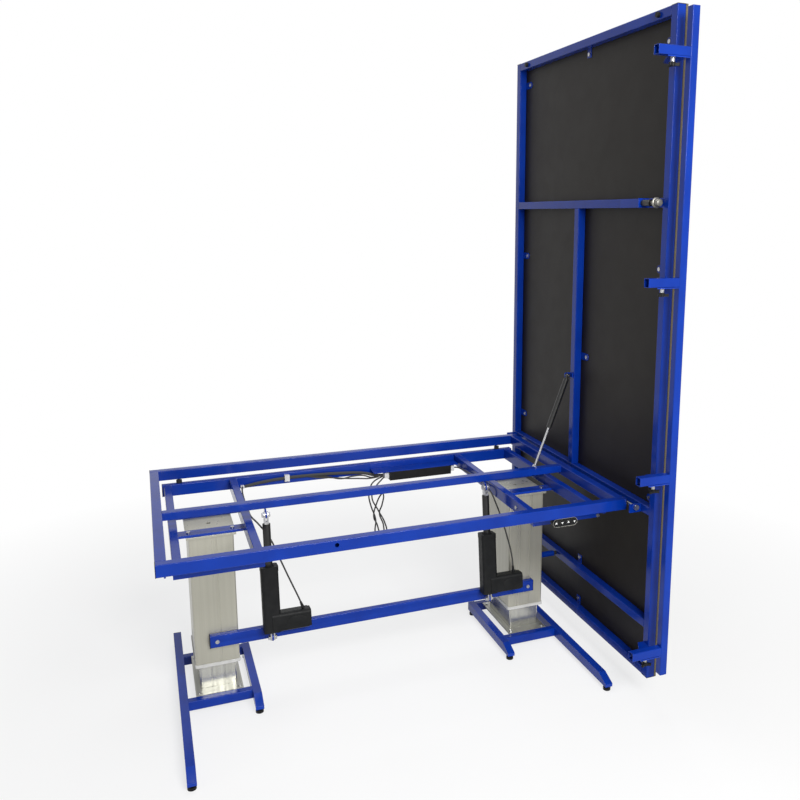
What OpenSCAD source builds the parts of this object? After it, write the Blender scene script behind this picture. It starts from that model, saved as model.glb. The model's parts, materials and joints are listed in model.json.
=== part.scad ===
// Height-adjustable tilting table with a fold-down panel.
// Rest pose: columns down, tilting frame level, panel upright at the right-hand end.
// X runs along the table, Y from the front to the back, Z up from the floor.

/* [Tilting frame] */
// Length of the tilting frame
frame_l = 1600; // [1500:10:1700]
// Depth of the tilting frame
frame_d = 990; // [960:5:1040]
// Height of its top above the floor, columns down
frame_top = 735; // [725:1:745]
// Width of its tubes
rail_w = 33; // [30:1:36]
// Height of its tubes
rail_h = 40; // [38:1:42]
// Height of the middle rail
middle_h = 28; // [26:1:30]
// How far the middle rail lies in front of the centre
middle_off = 28; // [20:1:40]
// Wall of every steel tube
wall = 2; // [1.5:0.5:3]

/* [Lower frame] */
// Gap between the tilting frame and the lower frame
frame_gap = 12; // [10:1:14]
// Width of the support beams
beam_w = 28; // [24:1:32]
// Height of the support beams and the lower rear rail
beam_h = 46; // [42:1:50]
// How far the beams' front ends lie behind the frame's front
beam_set = 105; // [100:1:115]
// Width of the lower rear rail
lower_w = 30; // [26:1:34]
// How far that rail lies inside the frame's rear face
lower_set = 32; // [30:1:40]
// Overhang of that rail past the outer beams
lower_over = 6; // [4:1:20]

/* [Legs] */
// Distance of each column inside the frame's end
column_x = 188; // [180:1:200]
// How far the columns stand behind the table's centre
column_y = 75; // [65:1:85]
// Distance of the beams and runners from the column's centre
leg_off = 124; // [120:1:130]
// Width of the outer column profile
outer_w = 152; // [146:1:156]
// Depth of the outer column profile
outer_d = 240; // [234:1:246]
// Wall of the column profiles
column_wall = 4; // [3:0.5:5]
// Height of the outer profile's lower edge above the floor
outer_low = 152; // [140:1:165]
// Gap between the inner and the outer profile
column_gap = 8; // [7:0.5:9]
// Height of the inner profile's upper end above the floor
inner_top = 600; // [590:1:610]
// Width of the foot runners
runner_w = 29; // [26:1:32]
// Height of the foot runners
runner_h = 35; // [32:1:38]
// Height of the levelling pads
pad_h = 17; // [15:1:20]
// Radius of the levelling pads
pad_r = 14; // [12:1:15]

/* [Crossbar] */
// Half of what the crossbar's length adds to the distance between the columns
bar_half = 24; // [18:1:43]
// Depth of the crossbar
bar_d = 23; // [20:1:26]
// Height of the crossbar
bar_h = 46; // [42:1:50]
// Height of its lower edge above the floor
bar_low = 219; // [212:1:225]

/* [Tilt hinge] */
// How far the tilt hinge lies behind the frame's front
tilt_set = 119; // [117:1:122]
// How far it lies below the lower frame's top
tilt_drop = 25; // [22:1:28]
// Radius of the tilt bolts
tilt_r = 6; // [5:0.5:7]
// Distance of the tilt lugs inside the frame's ends
lug_set = 27; // [24:1:30]
// Thickness of the tilt lugs
lug_t = 6; // [5:0.5:7]

/* [Actuators] */
// Distance of each actuator inside its column
act_x = 188; // [180:1:196]
// How far the lower pivot lies in front of the table's centre
act_low_y = 104; // [102:1:108]
// Height of the lower pivot above the floor
act_low_z = 240; // [237:1:243]
// How far the upper pivot lies in front of the table's centre
act_up_y = 55; // [52:1:58]
// How far the upper pivot lies below the middle rail
act_up_drop = 19; // [17:1:21]
// Width of the actuator's housing
act_w = 60; // [56:1:64]
// Depth of the actuator's housing
act_d = 54; // [50:1:56]
// Length of the housing above the lower pivot
act_h = 265; // [255:1:275]
// Reach of the motor beside the actuator
motor_reach = 138; // [130:1:145]
// Height of the motor's housing
motor_h = 68; // [62:1:72]
// Radius of the rod
rod_r = 14; // [12:0.5:15]
// Thickness of the fork's prongs
prong_t = 5; // [4:0.5:6]

/* [Panel] */
// Gap between the frame's end and the panel
panel_gap = 31; // [30:0.5:33]
// Depth of the panel's tubes across the board
panel_t = 32; // [29:1:35]
// Width of the panel's stiles
stile_w = 34; // [32:1:38]
// Height of the panel's cross rails
cross_h = 31; // [28:1:34]
// Width of the panel
panel_w = 1208; // [1190:1:1230]
// How far the panel stands in front of the frame
panel_over = 128; // [120:1:135]
// Height of the panel's lower edge above the floor
panel_low = 87; // [80:1:95]
// Length of the panel
panel_h = 2321; // [2300:1:2340]
// Depth of the upper cross rail's top below the panel's top
upper_cross = 602; // [578:1:628]
// Height of the lower cross rail's top above the floor
lower_cross = 302; // [299:1:304]
// Thickness of the board
board_t = 8; // [6:1:10]

/* [Panel hinge] */
// How far the hinge axis lies outside the frame's end
hinge_out = 8; // [7:0.5:9]
// How far the hinge axis lies below the frame's top
hinge_drop = 17; // [15:0.5:18]
// Radius of the hinge pins
hinge_r = 6; // [5:0.5:6.5]

/* [Stop rail] */
// Side of the stop rail's square tube
stop_w = 28; // [26:1:30]
// Gap between the stop rail and the near stile
stop_gap = 53; // [48:1:58]
// Length of the arms
arm_l = 117; // [110:1:120]
// Height of the arms
arm_h = 30; // [28:1:32]
// Travel of the stop rail
stop_travel = 50; // [40:1:52]

/* [Latch and stops] */
// Radius of the latch plunger
plunger_r = 6; // [5:0.5:7]
// Radius of the latch knob
knob_r = 18; // [16:1:20]
// Radius of the stop tube
stop_r = 12; // [10:0.5:13]
// Height of the stop tube's axis above the floor
stop_z = 288; // [286:1:290]

/* [Gas strut] */
// Radius of the strut's cylinder
strut_r = 11; // [9:0.5:12]
// Radius of the strut's rod
strut_rod_r = 5; // [4:0.5:6]
// Length of the strut's cylinder
strut_l = 228; // [220:1:232]
// Height of its upper pivot above the panel's hinge
strut_up = 384; // [380:1:390]
// How far its lower pivot lies inside the frame's end
strut_in = 132; // [128:1:136]

/* [Handset and controls] */
// Length of the handset
handset_l = 96; // [90:1:104]
// Height of the handset
handset_h = 30; // [28:1:34]
// Depth of the handset
handset_d = 22; // [20:1:26]
// Distance of the handset inside the frame's end
handset_x = 251; // [240:1:270]
// Radius of its buttons
button_r = 7; // [6:0.5:8]
// Travel of its buttons
button_travel = 1.5; // [1:0.25:2]
// Length of the control shelf
shelf_l = 385; // [370:1:388]
// Depth of the control shelf
shelf_d = 70; // [66:1:76]
// Length of the control box
box_l = 279; // [260:1:290]
// Height of the control box
box_h = 38; // [34:1:42]

/* [Hidden] */

// Overrun of every cut
over = 1;
// Running clearance of every pin in its bore, on the radius
run = 0.05;
// Working gap between pieces that move past each other
gap = 0.3;
// Facets of round shapes
$fn = 48;

// Places that follow from the sizes above
half_l = frame_l / 2;
half_d = frame_d / 2;
rail_z = frame_top - rail_h;
lower_top = rail_z - frame_gap;
beam_z = lower_top - beam_h;
beam_y = beam_set - half_d;
member_d = beam_w;
lower_rear = half_d - lower_set;
lower_front = lower_rear - lower_w;
middle_y = -middle_off;
leg_x = half_l - column_x;
bar_end = leg_x + bar_half;
drive_x = leg_x - act_x;
handset_at = half_l - handset_x;
inner_beam = leg_x - leg_off - beam_w / 2;
middle_z = frame_top - middle_h;
runner_top = pad_h + runner_h;
sides = [-1, 1];

// Column head and base
plate_t = 8;
head_z = beam_z;
head_w = outer_w + plate_t * 2;
head_d = outer_d + plate_t * 2;
outer_h = head_z - plate_t - outer_low;
inner_w = outer_w - (column_wall + column_gap) * 2;
inner_d = outer_d - (column_wall + column_gap) * 2;
collar_t = 3;
collar_h = 12;
groove_w = 4;
groove_d = 1.5;
// Share of the profile's width at which the outer profile has its groove
outer_groove_shares = [0.6];
// Shares of the profile's width at which the inner profile has its grooves
inner_groove_shares = [0.33, 0.67];
glide_l = 60;
glide_w = 30;
profile_r = 6;
tube_round = 3;
lift_motor_r = 38;
lift_motor_l = 110;
push_r = 16;
push_wall = 3;

// Feet
crossbar_w = 28;
outer_rear = 435;
outer_bend = 470;
nose = 53;
foot_front = 106;
foot_rear = 248;
nose_share = 0.35;
pad_in = 16;
pad_stem_r = 5;
pad_foot_h = 10;

// Screws
screw_r = 4;
screw_head_r = 7;
screw_head_h = 4;
bolt_head_r = 9;
bolt_head_h = 7;
plate_screw_x = 74;
base_screw_x = 70;
base_edge = 12;
base_screw_in = 18;
earth_in = 9;
earth_up = 8;
// Share of the beam's length at which the bolt on the right inner beam sits
beam_bolt_share = 0.18;
support_w = 49;
support_t = 9;
support_rear = 170;
support_front = 25;
cap_t = 2;
cap_plug = 14;

// Tilt hinge
tilt_y = tilt_set - half_d;
tilt_z = lower_top - tilt_drop;
lug_x = half_l - lug_set;
lug_r = 16;
lug_w = 40;
beam_out = leg_x + leg_off + beam_w / 2;

// Actuator: the axis leans from the lower to the upper pivot
low_y = -act_low_y;
up_y = -act_up_y;
up_z = middle_z - act_up_drop;
act_len = norm([up_y - low_y, up_z - act_low_z]);
act_lean = atan2(up_y - low_y, up_z - act_low_z);
act_foot = 24;
pin_r = 5;
ear_r = 13;
ear_t = 5;
fork_gap = 0.4;
fork_h = 32;
fork_base = 8;
prong_r = 11;
rod_in = 215;
bore_end = 12;
housing_r = 10;
collar_over = 1;
act_collar_h = 18;
motor_front = 30;
motor_back = 25;
motor_r = 12;
motor_cap = 8;
motor_step = 2;

// Panel
panel_x = half_l + panel_gap;
near_y = -half_d - panel_over;
far_y = near_y + panel_w;
panel_top = panel_low + panel_h;
upper_top = panel_top - upper_cross;
hinge_rail_drop = 5;
hinge_rail_top = frame_top - hinge_rail_drop;
centre_y = 1;
hinge_x = half_l + hinge_out;
hinge_z = frame_top - hinge_drop;
hinge_lug_t = 8;
hinge_lug_r = 12;
hinge_lug_in = 39;
hinge_plate_t = 6;
hinge_plate_out = 40;
hinge_plate_l = 48;
pin_head_r = 10;
pin_head_h = 8;
pin_end = 2;
tab_l = 34;
tab_w = 28;
tab_t = 3;
tab_screw = 22;
side_tab_l = 60;
side_screw = 45;

// Tabs as [side of the tube, share of the panel's height]
near_tab_shares = [0.285, 0.638, 0.957];
far_tab_shares = [0.318, 0.637, 0.959];
centre_tab_share = 0.473;
top_tab_y = -14;
low_tab_y = -54;
buffer_r = 9;
buffer_h = 10;
near_buffer_y = -half_d - 25;
far_buffer_y = half_d - 17;
buffer_drop = 16;

// Latch
latch_x = hinge_x;
latch_z = upper_top - cross_h / 2;
latch_gap = 8;
latch_t = 4;
latch_base_l = 177;
latch_out = 41;
barrel_r = 11;
barrel_l = 49;
plunger_tip = 7;
hole_gap = 1;
plunger_l = 96;
knob_l = 24;
knob_flange = 6;
knob_grip_r = 12;
hole_x = hinge_x - (latch_z - hinge_z);

// Stop rail
stop_rear = near_y - stop_gap;
stop_front = stop_rear - stop_w;
stop_low_in = 55;
stop_high_in = 23;
stop_low = panel_low + stop_low_in;
stop_high = panel_top - stop_high_in;
// Shares of the panel's height at the arms' tops
arm_shares = [0.0694, 0.3438, 0.6303, 0.9375];
arm_x = panel_x - arm_l;
guide_t = 4;
guide_in = 31;
guide_root = 24;
guide_past = 28;
stud_r = 4;
slot_w = 9;
slot_end = 6;
slot_in = 5;
nut_w = 14;
nut_h = 6;
washer_r = 8;
washer_t = 1.5;
neck_r = 5;
neck_h = 12;
hub_r = 9;
hub_h = 12;
grip_l = 18;
grip_w = 8;
grip_h = 9;
grip_turn = -30;

// Gas strut: the axis leans from the lower to the upper pivot
strut_y = 2;
strut_low_x = half_l - strut_in;
strut_drop = 6;
strut_out = 3;
strut_low_z = frame_top - strut_drop;
strut_up_x = hinge_x + strut_out;
strut_up_z = hinge_z + strut_up;
strut_len = norm([strut_up_x - strut_low_x, strut_up_z - strut_low_z]);
strut_lean = atan2(strut_up_x - strut_low_x, strut_up_z - strut_low_z);
eye_r = 8;
eye_w = 14;
eye_gap = 0.3;
ear_gap = 1.5;
strut_travel = 156;
strut_end = 2;
strut_pin_r = 4;
strut_neck = 14;
ear_len = 20;

// Stop tube
stop_back = 30;
stop_y = column_y + stop_back;
tip_l = 14;
tip_r = 8;

// Handset
handset_gap = 2;
button_pitch = 24;
button_h = 5;
button_sink = 3.5;

// Controls
shelf_gap = 4;
shelf_x = inner_beam - shelf_gap - shelf_l;
shelf_t = 3;
box_in = 70;
box_x = shelf_x + box_in;
box_d = 60;
plug_l = 20;
plug_w = 36;
plug_h = 24;
plug_in = 10;
connector = 14;
connector_in = 22;
connector_x = connector_in - inner_beam;
clip_w = 20;
clip_d = 19;
clip_h = 26;
clip_in = 8;
clip_up = 26;
clip_gap = 1;

// Rubber buffers between the frames
rest_off = 58;
rest_x = beam_out - rest_off;
rest_r = 11;
rest_in = 8;

// Cables: radii, then routes whose points are chosen by hand
bundle_r = 6.5;
cable_r = 3;
cable_sides = 8;
bundle_route = [[-443.6, 424, 646.2], [-380, 424, 656], [-272, 425, 663], [-150, 425, 662],
    [-26, 425, 656], [55, 419, 648], [95, 402, 640], [132.8, 391.6, 637.2]];
left_route = [[-452, 418, 646], [-458, 380, 650], [-466, 250, 655], [-467, 100, 657],
    [-465, 10, 660], [-452, -25, 652], [-430, -32, 622], [-408, -36, 585], [-383, -52, 520],
    [-352, -80, 440], [-326, -97, 375], [-312, -103, 336]];
right_route = [[530, -103, 337], [526, -94, 400], [512, -74, 480], [494, -48, 560],
    [474, -36, 620], [463, -28, 650], [465, 60, 660], [466, 200, 658], [466, 330, 648],
    [463, 380, 640], [456.8, 388, 638]];
loop_route = [[132.2, 377.6, 633.5], [112, 352, 630], [70, 300, 615], [48, 266, 590],
    [70, 254, 535], [98, 252, 475], [104, 250, 435], [92, 250, 415], [76, 252, 435],
    [64, 254, 475], [52, 256, 505], [66, 262, 560], [88, 264, 598], [92, 252, 604],
    [84, 242, 560], [72, 240, 529], [88, 238, 470], [84, 236, 425], [70, 238, 415],
    [54, 240, 440], [56, 242, 500], [38, 246, 560], [32, 254, 598], [50, 300, 618],
    [84, 368, 622], [112, 396, 624], [133.4, 403.4, 628.7]];

// The clip holds the bundle at one point of its route, at a set place on the rear rail
clip = [bundle_route[2][0], lower_front - clip_in, beam_z + clip_up];

// Centre of the whole object in plan, so that the origin lies under it
centre_x = (panel_x + panel_t + board_t - half_l) / 2;
centre_plan_y = (stop_front + far_y) / 2;

// A box from its low corner and its size
module block(low, size) {
  translate(low) cube(size);
}

// A rectangle with round corners, its low corner at the origin
module rounded(w, h, r) {
  translate([r, 0]) square([w - r * 2, h]);
  translate([0, r]) square([w, h - r * 2]);
  for (x = [r, w - r], y = [r, h - r]) translate([x, y]) circle(r);
}

// The cross section of a steel tube
module section(w, h) {
  difference() {
    rounded(w, h, tube_round);
    translate([wall, wall]) square([w - wall * 2, h - wall * 2]);
  }
}

// A steel tube from its low corner and its size, open at both ends of the given axis
module tube(low, size, along) {
  translate(low) {
    if (along == 0) rotate([90, 0, 90]) linear_extrude(size[0]) section(size[1], size[2]);
    if (along == 1) translate([0, size[1], 0]) rotate([90, 0, 0]) linear_extrude(size[1])
      section(size[0], size[2]);
    if (along == 2) linear_extrude(size[2]) section(size[0], size[1]);
  }
}

// A plastic cap on a tube's end: a plate outside and a plug inside
module end_cap(low, size, along, side) {
  plug = cap_plug * side;
  block([for (i = [0:2]) low[i] + (i == along && side < 0 ? -cap_t : 0)],
    [for (i = [0:2]) i == along ? cap_t : size[i]]);
  block([for (i = [0:2]) low[i] + (i == along ? min(-plug, 0) : wall + gap)],
    [for (i = [0:2]) i == along ? cap_plug : size[i] - (wall + gap) * 2]);
}

// Round rods from one end's centre along each axis
module rod_x(start, radius, length) {
  translate(start) rotate([0, 90, 0]) cylinder(r = radius, h = length);
}

module rod_y(start, radius, length) {
  translate(start) rotate([-90, 0, 0]) cylinder(r = radius, h = length);
}

module rod_z(start, radius, length) {
  translate(start) cylinder(r = radius, h = length);
}

// A hexagon head along X
module hex_x(start, radius, length) {
  translate(start) rotate([0, 90, 0]) cylinder(r = radius, h = length, $fn = 6);
}

// Everything is modelled about the table's centre and moved over the origin here
module placed() {
  translate([-centre_x, -centre_plan_y, 0]) children();
}

// Swept cable: a ring at every point of the route, square to the way it runs, and turned as
// little as possible from the ring before it
function unit(v) = v / norm(v);
function route_dir(p, i) = unit(p[min(i + 1, len(p) - 1)] - p[max(i - 1, 0)]);
function square_to(v, t) = unit(v - (v * t) * t);
function route_side(p, i) = square_to(i == 0 ? [1, 1, 1] : route_side(p, i - 1), route_dir(p, i));
function ring(c, t, side, r, n) = [for (k = [0:n - 1])
  c + r * (cos(360 * k / n) * side + sin(360 * k / n) * cross(t, side))];
function side_faces(i, n) = [for (k = [0:n - 1]) each [
  [i * n + k, i * n + n + k, i * n + (k + 1) % n],
  [i * n + n + k, i * n + n + (k + 1) % n, i * n + (k + 1) % n]]];
function first_cap(n) = [for (k = [1:n - 2]) [0, k, k + 1]];
function last_cap(i, n) = [for (k = [1:n - 2]) [i * n, i * n + k + 1, i * n + k]];

module cable(route, r) {
  n = cable_sides;
  polyhedron(
    points = [for (i = [0:len(route) - 1])
      each ring(route[i], route_dir(route, i), route_side(route, i), r, n)],
    faces = [each first_cap(n), each last_cap(len(route) - 1, n),
      for (i = [0:len(route) - 2]) each side_faces(i, n)]);
}

// Feet

// Side view of a runner: flat behind, sloping down to a nose in front of the bend
module runner(x, bend, rear) {
  difference() {
    translate([x - runner_w / 2, 0, 0]) rotate([90, 0, 90]) linear_extrude(runner_w)
      polygon([[rear, pad_h], [rear, runner_top], [-bend, runner_top],
        [-bend - nose, pad_h + runner_h * nose_share], [-bend - nose, pad_h]]);
    block([x - runner_w / 2 + wall, -bend, pad_h + wall],
      [runner_w - wall * 2, bend + rear + over, runner_h - wall * 2]);
  }
}

inner_bend = foot_front + crossbar_w;

module foot_runners() {
  color([0.05, 0.2, 0.7]) for (s = sides) {
    runner(s * (leg_x + leg_off), outer_bend, outer_rear);
    runner(s * (leg_x - leg_off), inner_bend, foot_rear);
  }
}

module foot_crossbars() {
  length = leg_off * 2 - runner_w;
  color([0.05, 0.2, 0.7]) for (s = sides, y = [-foot_front, foot_rear - crossbar_w])
    tube([s * leg_x - length / 2, y, pad_h], [length, crossbar_w, runner_h], 0);
}

// Levelling pads under both ends of a runner, and the cap in its open rear end
module runner_plastics(x, bend, rear) {
  for (y = [pad_in - bend - nose, rear - pad_in]) {
    rod_z([x, y, 0], pad_r, pad_foot_h);
    rod_z([x, y, pad_foot_h], pad_stem_r, pad_h - pad_foot_h);
  }
  end_cap([x - runner_w / 2, rear, pad_h], [runner_w, 0, runner_h], 1, 1);
}

module foot_pads() {
  color([0.05, 0.05, 0.05]) for (s = sides) {
    runner_plastics(s * (leg_x + leg_off), outer_bend, outer_rear);
    runner_plastics(s * (leg_x - leg_off), inner_bend, foot_rear);
  }
}

base_len = foot_rear + foot_front - crossbar_w * 2;
base_y = crossbar_w - foot_front;

module base_plates() {
  width = (base_screw_x + base_edge) * 2;
  color([0.75, 0.75, 0.74]) for (s = sides) difference() {
    block([s * leg_x - width / 2, base_y, runner_top - plate_t], [width, base_len, plate_t]);
    for (x = [-1, 1], y = [base_screw_in, base_len - base_screw_in])
      rod_z([s * leg_x + x * base_screw_x, base_y + y, runner_top - plate_t - over],
        screw_r, plate_t + over * 2);
  }
}

module base_screws() {
  color([0.8, 0.8, 0.82]) for (s = sides, x = [-1, 1], y = [base_screw_in, base_len - base_screw_in]) {
    rod_z([s * leg_x + x * base_screw_x, base_y + y, runner_top], screw_head_r, screw_head_h);
    rod_z([s * leg_x + x * base_screw_x, base_y + y, runner_top - plate_t],
      screw_r - gap, plate_t);
  }
}

// Columns

// A hollow column profile with grooves in its front and rear faces
module profile(w, d, z, h, shares) {
  difference() {
    translate([-w / 2, -d / 2, z]) linear_extrude(h) rounded(w, d, profile_r);
    block([column_wall - w / 2, column_wall - d / 2, z - over],
      [w - column_wall * 2, d - column_wall * 2, h + over * 2]);
    for (share = shares, y = [-d / 2 - over, d / 2 - groove_d])
      block([w * share - w / 2 - groove_w / 2, y, z - over],
        [groove_w, groove_d + over, h + over * 2]);
  }
}

module inner_columns() {
  color([0.78, 0.77, 0.74]) for (s = sides) translate([s * leg_x, column_y, 0])
    profile(inner_w, inner_d, runner_top, inner_top - runner_top, inner_groove_shares);
}

// Plastic pads near the inner profile's upper end that the outer profile slides on
module column_glides() {
  color([0.9, 0.9, 0.88]) for (s = sides, a = [-1, 1], x = [-1, 1]) {
    translate([s * leg_x, column_y, 0]) {
      block([x * (inner_w - glide_w) / 2 - glide_w / 2,
        a > 0 ? inner_d / 2 : gap - inner_d / 2 - column_gap, inner_top - glide_l],
        [glide_w, column_gap - gap, glide_l]);
      block([a > 0 ? inner_w / 2 : gap - inner_w / 2 - column_gap,
        x * (inner_d - glide_w) / 2 - glide_w / 2, inner_top - glide_l],
        [column_gap - gap, glide_w, glide_l]);
    }
  }
}

module lift_motors() {
  color([0.25, 0.25, 0.27]) for (s = sides)
    rod_z([s * leg_x, column_y, runner_top], lift_motor_r, lift_motor_l);
}

module lift_tubes() {
  low = runner_top + lift_motor_l + plate_t;
  color([0.6, 0.6, 0.62]) for (s = sides) translate([s * leg_x, column_y, 0]) difference() {
    rod_z([0, 0, low], push_r, head_z - plate_t - low);
    rod_z([0, 0, low - over], push_r - push_wall, head_z - plate_t - low + over * 2);
  }
}

module outer_columns() {
  color([0.78, 0.77, 0.74]) for (s = sides) translate([s * leg_x, column_y, 0]) difference() {
    profile(outer_w, outer_d, outer_low, outer_h, outer_groove_shares);
    rod_y([0, -outer_d / 2 - over, bar_low + bar_h / 2], screw_r, column_wall + over * 2);
  }
}

// A rim under the outer profile's lower edge
module column_collars() {
  w = outer_w + collar_t * 2;
  d = outer_d + collar_t * 2;
  color([0.93, 0.93, 0.92]) for (s = sides) translate([s * leg_x, column_y, 0]) difference() {
    translate([-w / 2, -d / 2, outer_low - collar_h]) linear_extrude(collar_h)
      rounded(w, d, profile_r + collar_t);
    block([-inner_w / 2 - gap, -inner_d / 2 - gap, outer_low - collar_h - over],
      [inner_w + gap * 2, inner_d + gap * 2, collar_h + over * 2]);
  }
}

module column_heads() {
  color([0.72, 0.7, 0.66]) for (s = sides) translate([s * leg_x, column_y, 0]) difference() {
    block([-head_w / 2, -head_d / 2, head_z - plate_t], [head_w, head_d, plate_t]);
    for (x = [-1, 1], y = [-support_front, support_rear])
      rod_z([x * plate_screw_x, y - column_y, head_z - plate_t - over], screw_r,
        plate_t + over * 2);
    rod_z([0, 0, head_z - plate_t - over], screw_head_r, plate_t + over * 2);
  }
}

// Crossbar between the columns, in front of them

bar_y = column_y - outer_d / 2 - bar_d;

module crossbar() {
  color([0.05, 0.2, 0.7]) difference() {
    tube([-bar_end, bar_y, bar_low], [bar_end * 2, bar_d, bar_h], 0);
    for (s = sides)
      rod_y([s * leg_x, bar_y - over, bar_low + bar_h / 2], screw_r, bar_d + over * 2);
  }
}

module lift_caps() {
  half = beam_out + lower_over;
  color([0.05, 0.05, 0.05]) for (s = sides) {
    end_cap([s * bar_end, bar_y, bar_low], [0, bar_d, bar_h], 0, s);
    end_cap([s * half, lower_front, beam_z], [0, lower_w, beam_h], 0, s);
  }
}

// Shoulder bolt of the tilt hinge, with its shoulder between the lug and the beam
module tilt_bolt() {
  inner = lug_x - lug_t / 2;
  hex_x([inner + lug_t + gap, tilt_y, tilt_z], bolt_head_r, bolt_head_h);
  rod_x([beam_out - lug_t, tilt_y, tilt_z], tilt_r, inner + lug_t + gap - beam_out + lug_t);
  rod_x([beam_out, tilt_y, tilt_z], bolt_head_r, inner - beam_out - gap);
}

// Tilt bolts, screws of the crossbar and the flat plates, earth screw and bolt on a beam
module lift_bolts() {
  z = bar_low + bar_h / 2;
  bolt_y = beam_y + (lower_front - beam_y) * beam_bolt_share;
  color([0.8, 0.8, 0.82]) {
    rod_y([beam_out - earth_in, beam_y - screw_head_h, beam_z + earth_up], screw_head_r,
      screw_head_h);
    rod_x([leg_x - leg_off - beam_w / 2 - screw_head_h, bolt_y, beam_z + beam_h / 2],
      screw_head_r, screw_head_h);
  }
  color([0.8, 0.8, 0.82]) for (s = sides) {
    mirror([s < 0 ? 1 : 0, 0, 0]) tilt_bolt();
    rod_y([s * leg_x, bar_y - screw_head_h, z], screw_head_r, screw_head_h);
    rod_y([s * leg_x, bar_y, z], screw_r - gap, bar_d + column_wall);
    for (x = [-1, 1], y = [-support_front, support_rear]) {
      rod_z([s * leg_x + x * plate_screw_x, y, head_z + support_t], screw_head_r, screw_head_h);
      rod_z([s * leg_x + x * plate_screw_x, y, head_z - plate_t], screw_r - gap,
        plate_t + support_t);
    }
  }
}

// Box section that joins each leg's two beams at the front and holds the tilt bolt
module front_member(s) {
  length = leg_off * 2 + beam_w;
  difference() {
    block([s * leg_x - length / 2, beam_y, beam_z], [length, member_d, beam_h]);
    block([s * leg_x - length / 2 + lug_t, beam_y + wall, beam_z + wall],
      [length - lug_t * 2, member_d - wall * 2, beam_h - wall * 2]);
    rod_x([s * beam_out - lug_t - over, tilt_y, tilt_z], tilt_r + run, (lug_t + over) * 2);
  }
}

// Front members, flat plates over the columns, and the lugs that carry the actuators
module support_plates() {
  width = leg_off * 2 - beam_w;
  color([0.05, 0.2, 0.7]) {
    for (s = sides) front_member(s);
    for (s = sides, y = [-support_front, support_rear]) difference() {
      block([s * leg_x - width / 2, y - support_w / 2, head_z], [width, support_w, support_t]);
      for (x = [-1, 1])
        rod_z([s * leg_x + x * plate_screw_x, y, head_z - over], screw_r,
          support_t + over * 2);
    }
    for (s = sides) difference() {
      union() {
        rod_x([s * drive_x - ear_t / 2, low_y, act_low_z], ear_r, ear_t);
        block([s * drive_x - ear_t / 2, low_y, act_low_z - ear_r],
          [ear_t, bar_y - low_y, ear_r * 2]);
      }
      rod_x([s * drive_x - ear_t, low_y, act_low_z], pin_r + run, ear_t * 2);
    }
  }
}

module lower_rear_rail() {
  half = beam_out + lower_over;
  color([0.05, 0.2, 0.7])
    tube([-half, lower_front, beam_z], [half * 2, lower_w, beam_h], 0);
}

// Four beams from front to back
module support_beams() {
  color([0.05, 0.2, 0.7]) for (s = sides, a = [-1, 1])
    tube([s * leg_x + a * leg_off - beam_w / 2, beam_y + member_d, beam_z],
      [beam_w, lower_front - beam_y - member_d, beam_h], 1);
}

module rubber_stops() {
  color([0.06, 0.06, 0.06]) {
    for (s = sides)
      rod_z([s * rest_x, lower_rear - rest_in, lower_top], rest_r, frame_gap - gap);
    rod_x([panel_x - tip_l - gap, stop_y, stop_z], tip_r, tip_l);
  }
}

// Controls

shelf_z = beam_z + beam_h / 2;

module control_shelf() {
  color([0.05, 0.2, 0.7]) {
    block([shelf_x, lower_front - shelf_t, shelf_z], [shelf_l, shelf_t, lower_top - shelf_z]);
    block([shelf_x, lower_front - shelf_d, shelf_z - shelf_t], [shelf_l, shelf_d, shelf_t]);
  }
}

module control_box() {
  color([0.05, 0.05, 0.05])
    block([box_x, lower_front - box_d - plug_in, shelf_z - shelf_t - box_h],
      [box_l, box_d, box_h]);
}

module cable_fittings() {
  z = shelf_z - shelf_t - box_h / 2 - plug_h / 2;
  color([0.85, 0.85, 0.85]) {
    for (x = [box_x - plug_l, box_x + box_l])
      block([x, lower_front - plug_in - plug_w - plug_in, z], [plug_l, plug_w, plug_h]);
    block([connector_x - connector / 2, lower_front - connector, beam_z + gap],
      [connector, connector, connector]);
    difference() {
      block([clip[0] - clip_w / 2, lower_front - clip_d, clip[2] - clip_h / 2],
        [clip_w, clip_d, clip_h]);
      rod_x([clip[0] - clip_w, clip[1], clip[2]], bundle_r + clip_gap, clip_w * 2);
    }
  }
}

module cables() {
  color([0.04, 0.04, 0.04]) {
    cable(bundle_route, bundle_r);
    for (route = [left_route, right_route, loop_route]) cable(route, cable_r);
  }
}

// Tube on the right-hand column that the upright panel leans against
module stop_tube() {
  start = leg_x + outer_w / 2;
  color([0.05, 0.2, 0.7]) difference() {
    rod_x([start, stop_y, stop_z], stop_r, panel_x - tip_l - gap - start);
    rod_x([start - over, stop_y, stop_z], stop_r - wall, panel_x - tip_l * 2 - start);
  }
}

// Tilting frame

module long_rails() {
  length = frame_l - cap_t * 2;
  color([0.05, 0.2, 0.7]) for (y = [-half_d, half_d - rail_w]) difference() {
    tube([-length / 2, y, rail_z], [length, rail_w, rail_h], 0);
    rod_y([hole_x, -half_d - over, hinge_z], plunger_r + hole_gap, wall + over * 2);
  }
}

module end_rails() {
  color([0.05, 0.2, 0.7]) for (x = [-half_l, half_l - rail_w])
    tube([x, rail_w - half_d, rail_z], [rail_w, frame_d - rail_w * 2, rail_h], 1);
}

module middle_rail() {
  color([0.05, 0.2, 0.7])
    tube([rail_w - half_l, middle_y - rail_w / 2, middle_z],
      [frame_l - rail_w * 2, rail_w, middle_h], 0);
}

module frame_caps() {
  color([0.05, 0.05, 0.05]) for (s = sides, y = [-half_d, half_d - rail_w])
    end_cap([s * (half_l - cap_t), y, rail_z], [0, rail_w, rail_h], 0, s);
}

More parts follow.
